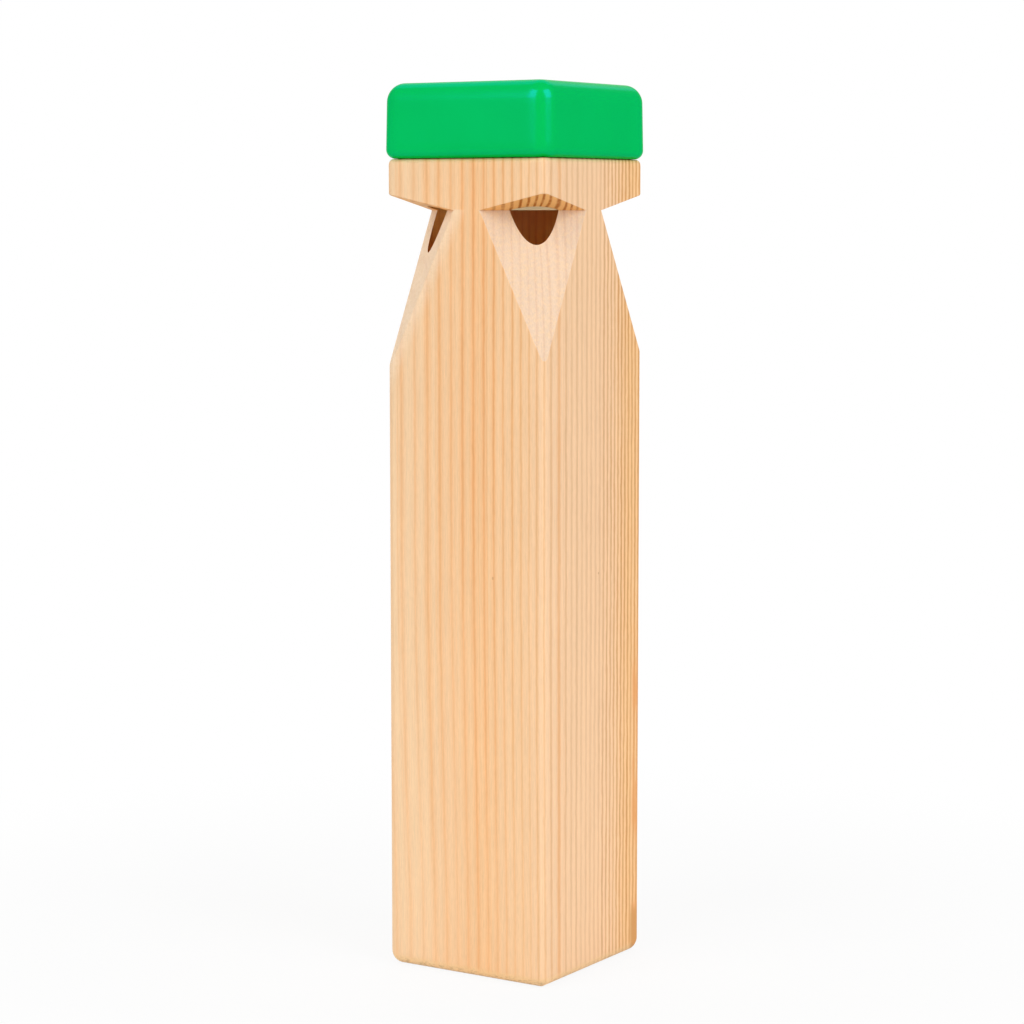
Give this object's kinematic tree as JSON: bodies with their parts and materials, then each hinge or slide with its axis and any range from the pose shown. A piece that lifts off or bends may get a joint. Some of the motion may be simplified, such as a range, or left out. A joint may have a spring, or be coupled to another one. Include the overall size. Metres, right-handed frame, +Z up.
{
  "type": "wooden train whistle",
  "caption": "Square wooden whistle block with a mouth sawn across each upright edge, plugged bores inside and a hollow plastic mouthpiece cap on top with a blow hole.",
  "frame": {"origin": "centre of the flat base", "axes": "+Z up along the block towards the mouthpiece cap, -Y to the front face, +X to the right face"},
  "size_m": [0.0366, 0.0366, 0.1654],
  "materials": {
    "pine": "sanded bare pine with straight growth rings",
    "plug_plastic": "off-white moulded plastic",
    "green_plastic": "glossy moulded green plastic"
  },
  "bodies": {
    "root": {"whistle_body": "pine", "fipple_plug_front_right": "plug_plastic", "fipple_plug_front_left": "plug_plastic", "fipple_plug_back_left": "plug_plastic", "fipple_plug_back_right": "plug_plastic", "mouthpiece_cap": "green_plastic"}
  },
  "joints": []
}
